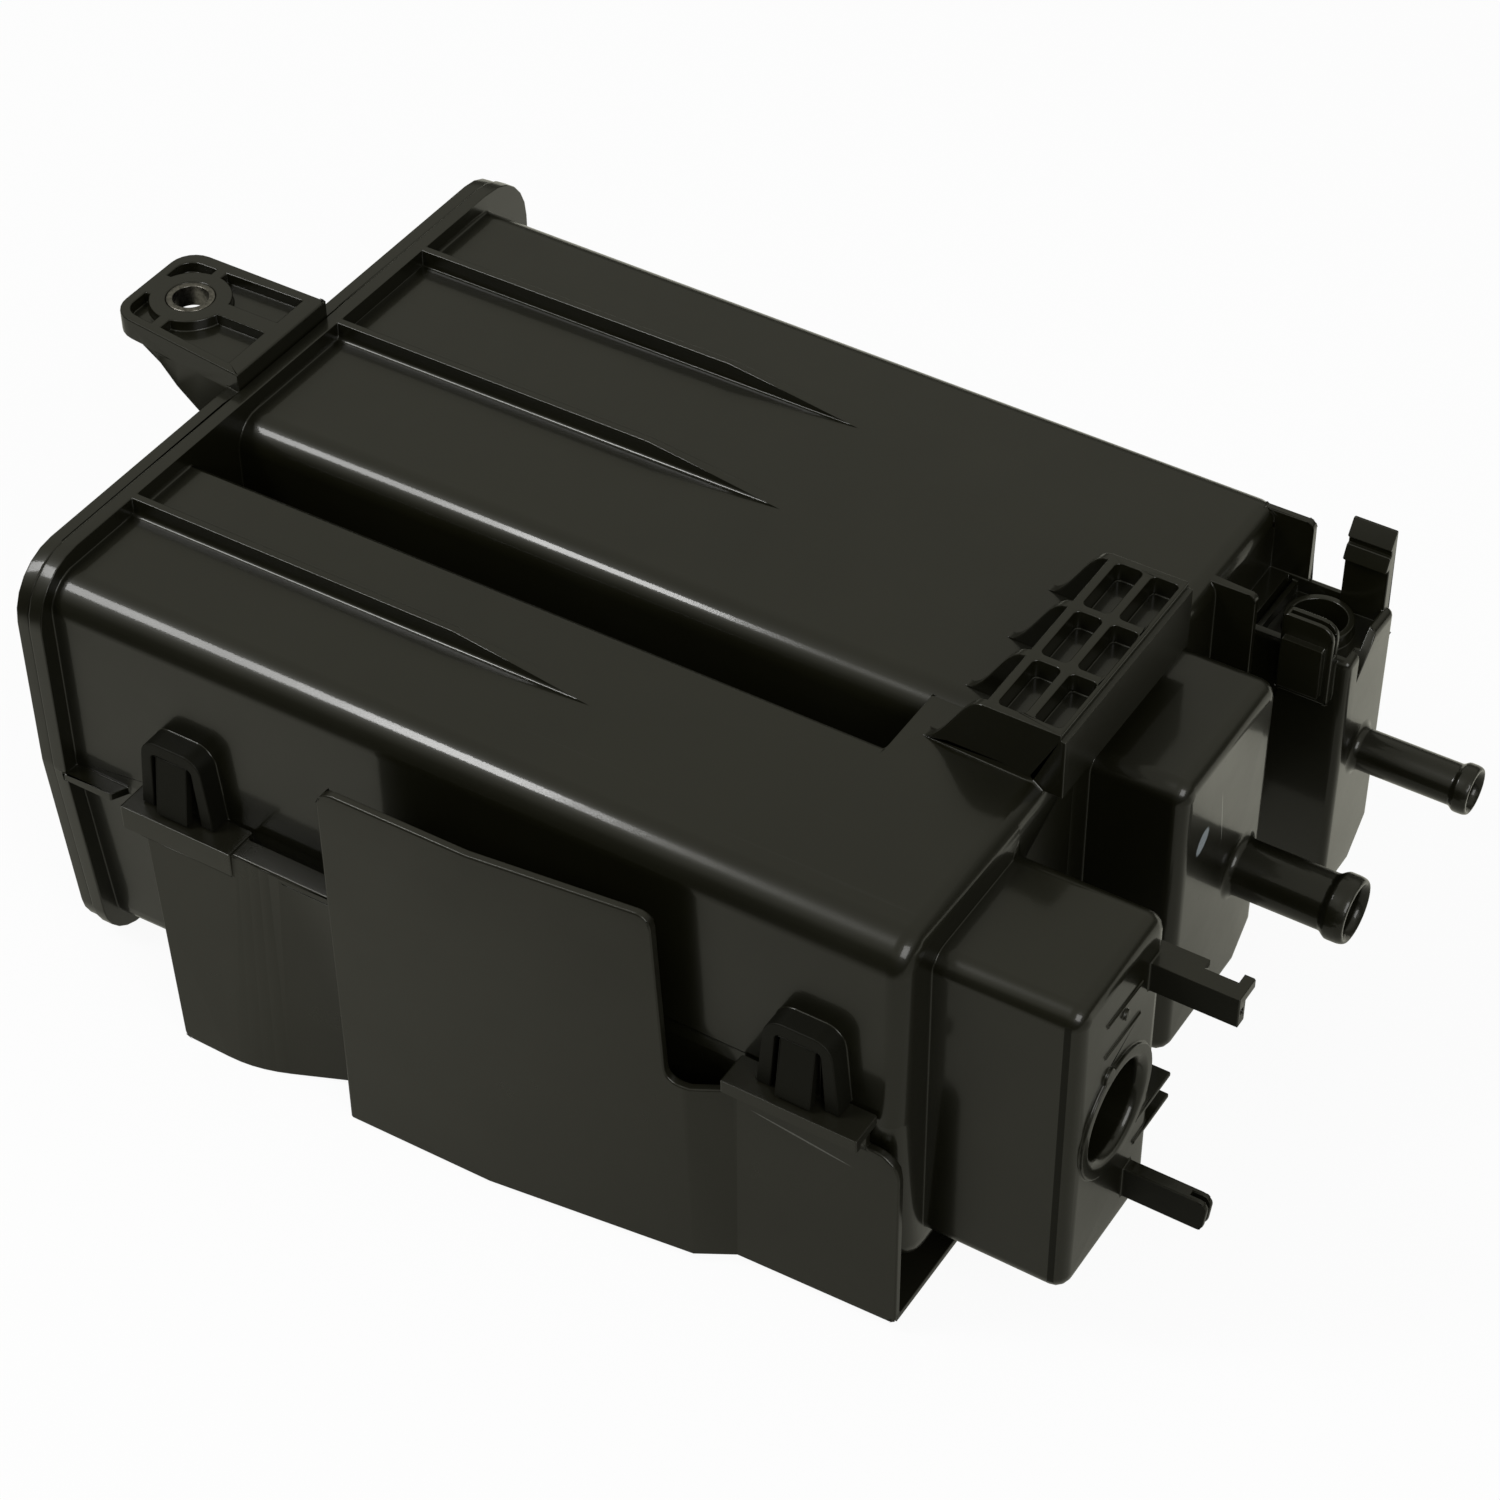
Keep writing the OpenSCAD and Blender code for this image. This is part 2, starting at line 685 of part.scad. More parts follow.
// Spring seats on the cover and the pressure plates
spring_seat_d = spring_od - 2 * spring_wire - 1;
spring_rear = dish_x + wall;
main_spring_y = (main_near + main_far) / 2;
vent_spring_y = (vent_near + vent_far) / 2 + 4.5;
spring_z = [-body_height * 0.3, -body_height * 0.7];

module spring_seats(x0, x1, y) {
    for (z = spring_z)
        bar_x(spring_seat_d, x0, x1, y, z);
}

// Mounting tab: plan outline, leaning side walls, pockets in its top and a ring round the bush
tab_rear = -bolt_to_flange - 13.5;
tab_front = joint_x;
tab_half = tab_width / 2;
tab_flare = 5;
far_half = tab_half + 1.2;
tab_rim = 2.7;
tab_lean = 0.3;
ring_d = 21;
spoke = 5;
pocket = 3;
tab_plan = [[tab_rear, -tab_half, 7], [tab_front, -tab_half - tab_flare, sharp_r],
            [tab_front, far_half, sharp_r], [tab_rear, far_half, 7]];

// Side wall below the tab, deeper to the flange
module tab_gusset(side) {
    under = tab_rise - tab_t;
    half = side > 0 ? far_half : tab_half;
    spread = side > 0 ? 0 : tab_flare;
    drops = [[9.5, -0.5], [10.7, 0.2], [16.6, 2.3], [22.8, 5.9], [29.7, 8.8],
             [back_x + overlap - tab_rear, 13]];
    loft([for (d = drops)
        let (x = tab_rear + d.x, y = side * (half + spread * d.x / (tab_front - tab_rear)))
        let (low = y + side * tab_lean * d.y, high = y - side * tab_lean, t = -side * tab_rim)
        let (foot = under - d.y, head = under + overlap)
        across(x, side > 0
            ? [[low + t, foot], [low, foot], [high, head], [high + t, head]]
            : [[low, foot], [low + t, foot], [high + t, head], [high, head]])]);
}

// Pockets round the bush, parted by spokes
module tab_pockets() {
    low = tab_rise - pocket;
    difference() {
        translate([0, 0, low])
            linear_extrude(2 * tab_rise)
                polygon(rounded(inset([tab_plan[0], [back_x - 1 + tab_rim, -tab_half - tab_flare, 2],
                                       [back_x - 1 + tab_rim, tab_half + 1, 2], [tab_rear, tab_half, 7]],
                                      tab_rim)));
        translate([-bolt_to_flange, 0, 0]) cylinder(d = ring_d, h = 2 * tab_rise);
        block([tab_rear, -4.3, 0], [-bolt_to_flange, 4.3, 2 * tab_rise]);
        block([-bolt_to_flange, -spoke / 2, 0], [0, spoke / 2, 2 * tab_rise]);
        block([-bolt_to_flange - 1.6, -tab_width, 0], [-bolt_to_flange + 1.6, tab_width, 2 * tab_rise]);
    }
}

module tab() {
    difference() {
        translate([0, 0, tab_rise - tab_t]) linear_extrude(tab_t) polygon(rounded(tab_plan));
        tab_pockets();
    }
    tab_gusset(1);
    tab_gusset(-1);
}

module cover_hollow() {
    rim = rounded(inset(body_outline, dish_edge + wall));
    floor = rounded(inset(body_outline, dish_edge + dish_step + wall));
    loft([across(dish_x + wall, floor), across(back_x + overlap, rim), across(joint_x + overlap, rim)]);
}

module rear_cover() {
    color(black_plastic)
        from_bolt()
            difference() {
                union() {
                    difference() {
                        union() {
                            plate_across(rounded(inset(flange, cover_step)), back_x, joint_x);
                            cover_dish();
                            cover_ribs();
                            tab();
                        }
                        cover_hollow();
                    }
                    spring_seats(dish_x + overlap, dish_x + 3 * wall, main_spring_y);
                    spring_seats(dish_x + overlap, dish_x + 3 * wall, vent_spring_y);
                }
                translate([-bolt_to_flange, 0, 0])
                    cylinder(d = bush_od + 2 * bush_fit, h = 4 * tab_rise, center = true);
            }
}

// Steel bush that carries the bolt load through the tab
module mount_bush() {
    color(zinc_steel)
        difference() {
            translate([0, 0, -tab_t]) cylinder(d = bush_od, h = tab_t);
            translate([0, 0, -2 * tab_t]) cylinder(d = bush_bore, h = 3 * tab_t);
        }
}

// Side shield: plan lines of its sheet, from the flange end
shield_bottom = -body_height - shield_drop - 0.4;
shield_rise = 3;
shield_end = body_length + 1.3;
side_y = vent_near - sharp_r;
ledge_out = vent_near - 10;
strip_out = vent_near - 9;
strip_in = vent_near - 3;
flap_y = side_y - shield_t + 0.1;
panel_rear = 86.5;
panel_bend = 127;
panel_front = body_length - 49.5;
wing_rear = 17;
wing_front = 57;
wing_foot = vent_near - 14.2;
floor_x = wing_rear + 18;

// Quadratic curve from a to c that leaves towards b, without its first point
function curve(a, b, c, n) = [for (i = [1:n])
    let (t = i / n)
    a * (1 - t) * (1 - t) + b * 2 * t * (1 - t) + c * t * t];

// Plan line of the sheet: its rear wing starts at the given shift, stands out by the given amounts
// and bends in towards the middle panel
function shield_line(shift, rear_y, front_y, inner_y) =
    let (rear = [wing_rear + shift, rear_y], crest = [wing_front + shift, front_y])
    let (inner = [panel_rear - 2.5, inner_y])
    let (leave = crest + (rear - crest) * 0.2, arrive = crest + (inner - crest) * 0.3)
    concat([rear, leave], curve(leave, crest, arrive, 5), [
        inner, [panel_rear, vent_near - 14.5], [panel_bend, vent_near - 14.3],
        [panel_front, vent_near - 8.4], [panel_front + 9, flap_y - 1], [shield_end, flap_y]]);
wing_shift = 3.6;
foot_line = shield_line(0, wing_foot + 1, wing_foot, wing_foot + 11);
ledge_line = shield_line(wing_shift, strip_out, strip_out, strip_out);

// Side view of the shield: rear wing, tall middle panel and front flap
panel_top = ledge_z + panel_rise;
flap_top = ledge_z - 10;
flap_ledge = ledge_z - 6;
panel_edge = body_length - 56.5;
shield_face = [[floor_x, shield_bottom, small_r], [shield_end, shield_bottom + shield_rise, small_r],
               [shield_end, flap_top, 7], [front_loop_x + 15.5, flap_top, sharp_r],
               [front_loop_x + 15.5, flap_ledge, sharp_r], [front_loop_x - 18, flap_ledge, sharp_r],
               [front_loop_x - 18, flap_top, sharp_r], [panel_edge + 1, flap_top, 4],
               [panel_edge - 1.5, panel_top, 4],
               [panel_rear - 0.2, panel_top, 5], [panel_rear - 0.2, ledge_z - 1, sharp_r],
               [wing_rear + 7 + wing_shift, ledge_z - 1, small_r]];

// Sheet of even thickness that follows a plan line at each of several heights
module bent_sheet(lines, heights, t) {
    n = len(lines[0]);
    m = len(lines);
    points = [for (k = [0:m - 1]) each
        [for (q = concat(lines[k], beside(lines[k], t))) [q.x, q.y, heights[k]]]];
    top = 2 * n * (m - 1);
    caps = [for (i = [0:n - 2]) each
        [[i, i + 1, n + i + 1, n + i], [top + i, top + n + i, top + n + i + 1, top + i + 1]]];
    sides = [for (k = [0:m - 2], i = [0:n - 2]) each
        let (a = 2 * n * k + i, b = a + n, c = a + 2 * n, d = b + 2 * n)
        [[a, c, a + 1], [a + 1, c, c + 1], [b, b + 1, d], [b + 1, d + 1, d]]];
    ends = [for (k = [0:m - 2]) each
        let (a = 2 * n * k, b = a + n, c = a + 2 * n, d = b + 2 * n, e = n - 1)
        [[a, b, d], [a, d, c], [a + e, c + e, d + e], [a + e, d + e, b + e]]];
    polyhedron(points, concat(caps, sides, ends));
}

module shield_sheet() {
    intersection() {
        bent_sheet([foot_line, ledge_line, ledge_line],
                   [shield_bottom - overlap, ledge_z, panel_top + overlap], shield_t);
        plate_along(rounded(shield_face), 3 * vent_near, 0);
    }
}

// Bottom of the shield, with a lip that stands up in the groove
module shield_floor() {
    groove_edge = vent_far + shield_gap + 2 * shield_t;
    edge = beside(foot_line, shield_t / 2);
    plan = concat([for (q = edge) [max(q.x, floor_x), q.y]],
                  [[shield_end, groove_edge], [floor_x, groove_edge]]);
    side = [[floor_x, shield_bottom], [shield_end, shield_bottom + shield_rise],
            [shield_end, shield_bottom + shield_rise + shield_t], [floor_x, shield_bottom + shield_t]];
    intersection() {
        translate([0, 0, -2 * body_height]) linear_extrude(2 * body_height) polygon(plan);
        plate_along(side, 3 * vent_near, 0);
    }
    lip = [[floor_x, shield_bottom], [groove_length - 2 * wall, shield_bottom + shield_rise * 0.77],
           [groove_length - 2 * wall, shield_bottom + 20], [floor_x, shield_bottom + 20]];
    plate_along(lip, groove_edge - shield_t, groove_edge);
}

// Ledge below a loop, with a front edge of its own
module shield_ledge(x0, x1, edge) {
    block([x0, ledge_out, ledge_z - shield_t - 0.5], [x1, side_y - shield_gap, ledge_z]);
    block([x0, ledge_out, ledge_z - edge], [x1, ledge_out + shield_t, ledge_z]);
}

// Strip from the rear ledge to the middle panel, a little lower and clear of the housing
module shield_strip(x0) {
    block([x0, strip_out, ledge_z - shield_t - 0.8], [panel_rear + overlap, strip_in, ledge_z - 0.4]);
}

// Web that hangs the front flap from its ledge
module flap_web() {
    back = side_y - shield_gap;
    block([front_loop_x - 16, back - shield_t, flap_top + overlap], [front_loop_x + 14.5, back, ledge_z - 1]);
}

// Lug that the spring tongue of a loop holds
module shield_lug(x) {
    back = side_y - shield_gap;
    block([x - 4, back - 2, ledge_z - overlap], [x + 4, back, loop_top - 6]);
}

module side_shield() {
    color(black_shield)
        from_bolt()
            union() {
                shield_sheet();
                shield_floor();
                shield_ledge(wing_rear + wing_shift + 1, rear_loop_x + 18.3, 7);
                shield_strip(rear_loop_x + 17);
                shield_ledge(front_loop_x - 17.5, front_loop_x + 17.5, 3.7);
                flap_web();
                shield_lug(rear_loop_x);
                shield_lug(front_loop_x);
            }
}

// A slice of one chamber's filling, drafted as the chamber is
module between(x0, x1) {
    block([x0, -2 * main_width, -2 * body_height], [x1, 2 * main_width, body_height]);
}

module main_slice(x0, x1, d) {
    intersection() {
        loft([across(joint_x - overlap, rounded(inset(main_at(joint_x - overlap), d))),
              across(body_length - nose_r, rounded(inset(main_front, d)))]);
        between(x0, x1);
    }
}

module vent_slice(x0, x1, d) {
    intersection() {
        loft([across(joint_x - overlap, rounded(inset(vent_at(joint_x - overlap), d))),
              across(body_length - nose_r, rounded(inset(vent_front, d)))]);
        between(x0, x1);
    }
}

// A pad against the port end, clear of the rounded nose
module main_pad() {
    plate_across(rounded(inset(main_front, pad)), bed_front, body_length - wall);
}

fill = wall + inner_gap;
pad = nose_r + inner_gap;

module divider_slot(x0) {
    block([x0, divider_y - 1 - inner_gap, -2 * body_height],
          [2 * body_length, divider_y + 1 + inner_gap, body_height]);
}

module main_bed() {
    color(carbon_black)
        from_bolt()
            difference() {
                main_slice(bed_rear, bed_front, fill);
                divider_slot(body_length - divider_length - inner_gap);
            }
}

module vent_bed() {
    color(carbon_black) from_bolt() vent_slice(bed_rear, bed_front, fill);
}

// Half of the front pad of the main chamber, to one side of the divider
module front_pad(y0, y1) {
    intersection() {
        main_pad();
        block([0, y0, -2 * body_height], [2 * body_length, y1, body_height]);
    }
}

module tank_filter() {
    color(felt_grey) from_bolt() front_pad(-2 * main_width, divider_y - 1 - inner_gap);
}

module purge_filter() {
    color(felt_grey) from_bolt() front_pad(divider_y + 1 + inner_gap, 2 * main_width);
}

module vent_filter() {
    color(felt_grey)
        from_bolt()
            plate_across(rounded(inset(vent_front, pad)), bed_front, body_length - wall);
}

module main_rear_filter() {
    color(felt_grey) from_bolt() main_slice(plate_x + plate_t, bed_rear, fill);
}

module vent_rear_filter() {
    color(felt_grey) from_bolt() vent_slice(plate_x + plate_t, bed_rear, fill);
}

// Windows of a pressure plate, left out behind the springs
module plate_windows(y0, y1, columns, first, last) {
    bar = 4;
    rows = 7;
    step_y = (y1 - y0) / columns;
    step_z = (body_height - 16) / rows;
    for (i = [0:columns - 1], k = [0:rows - 1])
        if (i < first || i > last || k % 3 == 0)
            block([0, y0 + i * step_y + bar / 2, -8 - (k + 1) * step_z + bar / 2],
                  [2 * plate_x + filter_t, y0 + (i + 1) * step_y - bar / 2, -8 - k * step_z - bar / 2]);
}

module main_plate() {
    color(black_plastic)
        from_bolt()
            union() {
                difference() {
                    main_slice(plate_x, plate_x + plate_t, fill + inner_gap);
                    plate_windows(main_near + 8, main_far - 8, 6, 2, 3);
                }
                for (z = spring_z)
                    bar_x(spring_od + 2, plate_x, plate_x + plate_t, main_spring_y, z);
                spring_seats(plate_x - 2 * wall, plate_x + plate_t, main_spring_y);
            }
}

module vent_plate() {
    color(black_plastic)
        from_bolt()
            union() {
                difference() {
                    vent_slice(plate_x, plate_x + plate_t, fill + inner_gap);
                    plate_windows(vent_near + 8, vent_far - 8, 3, 1, 2);
                }
                for (z = spring_z)
                    bar_x(spring_od + 2, plate_x, plate_x + plate_t, vent_spring_y, z);
                spring_seats(plate_x - 2 * wall, plate_x + plate_t, vent_spring_y);
            }
}

// Coil spring swept as rings of points round the wire
wire_sides = 8;
turn_steps = 16;
function coil_ring(angle, x) =
    [for (k = [0:wire_sides - 1])
        let (a = 360 * k / wire_sides)
        let (r = (spring_od - spring_wire) / 2 + spring_wire / 2 * cos(a))
        [x + spring_wire / 2 * sin(a), r * cos(angle), r * sin(angle)]];

module coil(y, z) {
    start = spring_rear + spring_wire / 2 + inner_gap / 2;
    end = plate_x - spring_wire / 2 - inner_gap / 2;
    rings = spring_turns * turn_steps;
    translate([0, y, z])
        loft([for (i = [0:rings])
            coil_ring(360 * i / turn_steps, start + (end - start) * i / rings)]);
}

module main_spring_upper() {
    color(spring_steel) from_bolt() coil(main_spring_y, spring_z[0]);
}

module main_spring_lower() {
    color(spring_steel) from_bolt() coil(main_spring_y, spring_z[1]);
}

module vent_spring_upper() {
    color(spring_steel) from_bolt() coil(vent_spring_y, spring_z[0]);
}

module vent_spring_lower() {
    color(spring_steel) from_bolt() coil(vent_spring_y, spring_z[1]);
}

housing();
rear_cover();
mount_bush();
side_shield();
main_bed();
vent_bed();
tank_filter();
purge_filter();
vent_filter();
main_rear_filter();
vent_rear_filter();
main_plate();
vent_plate();
main_spring_upper();
main_spring_lower();
vent_spring_upper();
vent_spring_lower();
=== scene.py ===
# %% [markdown]
# # A charcoal canister
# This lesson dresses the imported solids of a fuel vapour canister. The real thing is a black moulded
# box with two chambers, so most of the work is in its finish: soft roundings, satin gloss, faint flow
# marks and small scuffs. The solids stay where they are, and everything else is built round them.

# %% Load the frame
import json
import math

import bmesh
import bpy
from mathutils import Matrix, Vector
from mathutils.bvhtree import BVHTree

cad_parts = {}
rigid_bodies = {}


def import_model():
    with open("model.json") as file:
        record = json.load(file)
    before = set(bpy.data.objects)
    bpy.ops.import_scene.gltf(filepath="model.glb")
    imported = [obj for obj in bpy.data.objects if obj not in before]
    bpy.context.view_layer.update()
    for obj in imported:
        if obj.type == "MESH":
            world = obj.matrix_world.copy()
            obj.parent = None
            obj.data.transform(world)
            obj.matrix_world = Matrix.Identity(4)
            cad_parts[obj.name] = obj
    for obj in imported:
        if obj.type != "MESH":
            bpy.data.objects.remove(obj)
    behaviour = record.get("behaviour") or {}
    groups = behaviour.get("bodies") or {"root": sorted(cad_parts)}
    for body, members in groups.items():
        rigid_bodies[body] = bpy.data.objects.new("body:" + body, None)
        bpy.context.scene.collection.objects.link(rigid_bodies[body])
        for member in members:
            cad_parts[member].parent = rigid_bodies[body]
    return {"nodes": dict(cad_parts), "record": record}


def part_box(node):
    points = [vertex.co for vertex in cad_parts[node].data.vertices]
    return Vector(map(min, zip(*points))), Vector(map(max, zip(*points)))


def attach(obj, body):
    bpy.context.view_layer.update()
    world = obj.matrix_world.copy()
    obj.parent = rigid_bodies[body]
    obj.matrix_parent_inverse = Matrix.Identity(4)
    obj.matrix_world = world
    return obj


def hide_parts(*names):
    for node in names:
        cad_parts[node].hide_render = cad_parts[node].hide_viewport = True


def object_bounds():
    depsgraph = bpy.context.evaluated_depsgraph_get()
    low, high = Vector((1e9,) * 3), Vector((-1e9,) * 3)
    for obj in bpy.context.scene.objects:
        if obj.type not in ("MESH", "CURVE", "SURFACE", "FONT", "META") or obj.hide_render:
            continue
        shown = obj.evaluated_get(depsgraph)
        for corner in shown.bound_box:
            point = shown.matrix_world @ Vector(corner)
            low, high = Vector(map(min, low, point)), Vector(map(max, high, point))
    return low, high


for thing in list(bpy.data.objects):
    bpy.data.objects.remove(thing)
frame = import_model()
nodes = frame["nodes"]
mount_places = {mount["name"]: mount["pos_m"] for mount in frame["record"]["mounts"]}
solid_box = [list(corner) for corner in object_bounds()]
MM = 0.001
print("nodes:", len(nodes), "box:", solid_box)

# %% [markdown]
# ## Camera
# The photograph looks down on the port end from the vent chamber's side, through a fairly long lens.
# The camera's place and turn were worked out from edges that are straight on the real part, so they are
# simply written down here. The picture is square, so the sensor is 36 mm both ways.

# %% Camera
camera_eye = (0.5332, -0.5854, 0.5614)
azimuth, elevation, roll = (math.radians(angle) for angle in (32.24, 42.61, -0.54))
focal_length = 91.64
sensor_width = 36
nearest, farthest = 0.01, 50

look_back = Vector((math.sin(azimuth) * math.cos(elevation),
                    -math.cos(azimuth) * math.cos(elevation), math.sin(elevation)))
level = Vector((math.cos(azimuth), math.sin(azimuth), 0))
upright = look_back.cross(level)
right = math.cos(roll) * level + math.sin(roll) * upright
up = -math.sin(roll) * level + math.cos(roll) * upright
lens_data = bpy.data.cameras.new("view_camera")
lens_data.sensor_width = sensor_width
lens_data.lens = focal_length
lens_data.clip_start, lens_data.clip_end = nearest, farthest
camera = bpy.data.objects.new("view_camera", lens_data)
bpy.context.scene.collection.objects.link(camera)
turn = Matrix((right, up, look_back)).transposed().to_4x4()
camera.matrix_world = Matrix.Translation(camera_eye) @ turn
bpy.context.scene.camera = camera
print("camera at", tuple(round(v, 4) for v in camera.location))

# %% [markdown]
# ## Steps that the finishes share
# Every finish is a small tree of shader nodes, read in Object coordinates so that it stays on the part
# from any side. Each helper adds one kind of node and links it, so that a finish reads as a short list.
# They hand on sockets, which the next step can link to.

# %% Node helpers
def add_node(tree, kind, **values):
    """Adds a shader node, sets its own settings by name and its input sockets by socket name."""
    made = tree.nodes.new(kind)
    for key, value in values.items():
        if hasattr(made, key):
            setattr(made, key, value)
        else:
            made.inputs[key.replace("_", " ")].default_value = value
    return made


def noise(tree, place, scale, detail, roughness):
    """A noise that is read at a place on the part."""
    made = add_node(tree, "ShaderNodeTexNoise", Scale=scale, Detail=detail, Roughness=roughness)
    tree.links.new(place, made.inputs["Vector"])
    return made.outputs["Fac"]


def spread(tree, value, ends, levels=(0.0, 1.0), interpolation="LINEAR"):
    """Maps a value between two ends to a range of levels, and holds it there outside them."""
    made = add_node(tree, "ShaderNodeMapRange", interpolation_type=interpolation,
                    From_Min=ends[0], From_Max=ends[1], To_Min=levels[0], To_Max=levels[1])
    tree.links.new(value, made.inputs["Value"])
    return made.outputs["Result"]


def maths(tree, operation, *values):
    """One step of arithmetic, in which each value is a number or a socket."""
    made = add_node(tree, "ShaderNodeMath", operation=operation)
    for socket, value in zip(made.inputs, values):
        if isinstance(value, bpy.types.NodeSocket):
            tree.links.new(value, socket)
        else:
            socket.default_value = value
    return made.outputs["Value"]


print("number helpers: noise, spread, maths")

# %% Colour and bump helpers
def two_tones(tree, value, ends, tones):
    """A colour that runs between two tones as a value runs between two ends."""
    made = add_node(tree, "ShaderNodeValToRGB")
    for stop, position, tone in zip(made.color_ramp.elements, ends, tones):
        stop.position = position
        stop.color = (*tone, 1)
    tree.links.new(value, made.inputs["Fac"])
    return made.outputs["Color"]


def laid_over(tree, share, under, over):
    """Lays a plain colour over another one, by a share."""
    made = add_node(tree, "ShaderNodeMix", data_type="RGBA", B=(*over, 1))
    tree.links.new(share, made.inputs["Factor"])
    tree.links.new(under, made.inputs["A"])
    return made.outputs["Result"]


def bumped(tree, height, strength, distance, under=None):
    """A bump from a height, on top of the bump under it."""
    made = add_node(tree, "ShaderNodeBump", Strength=strength, Distance=distance)
    tree.links.new(height, made.inputs["Height"])
    if under is not None:
        tree.links.new(under, made.inputs["Normal"])
    return made.outputs["Normal"]


def new_finish(name, **constants):
    """A new material with constants on its shader: the material, its tree, its shader and the place on it."""
    made = bpy.data.materials.new(name)
    made.use_nodes = True
    tree = made.node_tree
    shader = tree.nodes["Principled BSDF"]
    for key, value in constants.items():
        shader.inputs[key.replace("_", " ")].default_value = value
    return made, tree, shader, add_node(tree, "ShaderNodeTexCoord").outputs["Object"]


print("colour helpers: two_tones, laid_over, bumped, new_finish")

# %% [markdown]
# ## Scuffs, marks and a painted reflection
# Handling leaves long thin scratches along the part. A noise that is stretched a hundredfold along X gives
# them, and its highest values are the deep ones. There are also, at known places, a pale bluish oval on the
# tank box face, which is a painted reflection of the sky, a thin pale line beside it and one scratch on the
# shield. Each is what a small ellipsoid cuts out of the surface, with a ragged edge.

# %% Scuffs, marks and a painted reflection
scuff_stretch = (7, 700, 700)
scuff_lean = (0.0, 0.02, 0.03)
deep_scuff = (0.68, 0.8)
dab_raggedness = 0.5
dab_edge = (1.3, 1.1)


def scuffed(tree, place):
    """Long thin scratches along the part: their height, and a mask of the deep ones."""
    stretch = add_node(tree, "ShaderNodeMapping", Scale=scuff_stretch, Rotation=scuff_lean)
    tree.links.new(place, stretch.inputs["Vector"])
    height = noise(tree, stretch.outputs["Vector"], scale=1.0, detail=3.0, roughness=0.65)
    return height, spread(tree, height, deep_scuff)


def dabbed(tree, place, patches, colour, dabs):
    """Lays each mark over a colour, a painted reflection as well as real marks: its middle, half sizes, lean,
    paint and strength are given.
    """
    for dab in dabs:
        shift = add_node(tree, "ShaderNodeMapping", vector_type="TEXTURE", Location=dab["middle"],
                         Rotation=dab["lean"], Scale=dab["half"])
        tree.links.new(place, shift.inputs["Vector"])
        reach = add_node(tree, "ShaderNodeVectorMath", operation="LENGTH")
        tree.links.new(shift.outputs["Vector"], reach.inputs[0])
        ragged = maths(tree, "MULTIPLY_ADD", patches, dab_raggedness, reach.outputs["Value"])
        share = spread(tree, ragged, dab_edge, (0.0, dab["strength"]))
        colour = laid_over(tree, share, colour, dab["paint"])
    return colour


# The first mark is a painted reflection of the sky, a pale bluish oval beside the tank stub; the second is a
# thin pale line.
tank_face_reflection_and_line = [
    {"middle": (0.288, -0.0048, -0.0402), "half": (0.0016, 0.0037, 0.0022), "lean": (0.757, 0, 0),
     "paint": (0.3, 0.34, 0.36), "strength": 0.85},
    {"middle": (0.288, 0.005, -0.0402), "half": (0.0012, 0.0002, 0.0088), "lean": (0.12, 0, 0),
     "paint": (0.3, 0.3, 0.27), "strength": 0.5}]
shield_dabs = [
    {"middle": (0.2399, -0.1015, -0.076), "half": (0.0135, 0.0015, 0.0003), "lean": (0, 0.163, 0),
     "paint": (0.2, 0.2, 0.18), "strength": 0.4}]
print("dabs:", len(tank_face_reflection_and_line) + len(shield_dabs))

# %% [markdown]
# ## Moulded plastic
# The housing and the cover are black filled nylon. It is nearly black, with a glossy skin over a duller
# body, a fine grain from the mould, slow drift of tone and shallow sink waves. The shield has no such skin,
# and a darker, duller copy without it paints shade on the snap loops and the fingers' near sides, so one
# function makes all three from the same steps.

# %% Plastic finish
drift_scale, patch_scale, wave_scale, pebble_scale = 14.0, 30.0, 35.0, 2600.0
wave_depth, scratch_depth, pebble_depth = 0.4 * MM, 0.01 * MM, 0.04 * MM
slow_bump = 0.25
drift_ends, patch_ends = (0.3, 0.75), (0.3, 0.7)
gloss_tint = (1.0, 1.0, 0.95, 1)
skin_roughness = 0.09
scuff_grey = (0.03, 0.03, 0.027)
scuff_share = 0.35
scuff_dulling = 0.12


def moulded_plastic(name, tones, gloss, grain, specular, skin, dabs=()):
    """Black moulded plastic: drifting tone, uneven gloss, fine grain and long faint scuffs."""
    made, tree, shader, place = new_finish(name, Specular_IOR_Level=specular, Specular_Tint=gloss_tint,
                                           Coat_Weight=skin, Coat_Roughness=skin_roughness)
    link = tree.links.new
    scratches, deep = scuffed(tree, place)
    patches = noise(tree, place, patch_scale, detail=5.0, roughness=0.6)
    drift = noise(tree, place, drift_scale, detail=4.0, roughness=0.6)
    waves = noise(tree, place, wave_scale, detail=2.0, roughness=0.4)
    pebbles = noise(tree, place, pebble_scale, detail=2.0, roughness=0.5)

    colour = two_tones(tree, drift, drift_ends, tones)
    colour = laid_over(tree, maths(tree, "MULTIPLY", deep, scuff_share), colour, scuff_grey)
    link(dabbed(tree, place, patches, colour, dabs), shader.inputs["Base Color"])

    uneven = spread(tree, patches, patch_ends, gloss)
    link(maths(tree, "MULTIPLY_ADD", deep, scuff_dulling, uneven), shader.inputs["Roughness"])

    normal = bumped(tree, waves, slow_bump, wave_depth)
    normal = bumped(tree, scratches, slow_bump, scratch_depth, normal)
    normal = bumped(tree, pebbles, grain, pebble_depth, normal)
    link(normal, shader.inputs["Normal"])
    link(normal, shader.inputs["Coat Normal"])
    return made


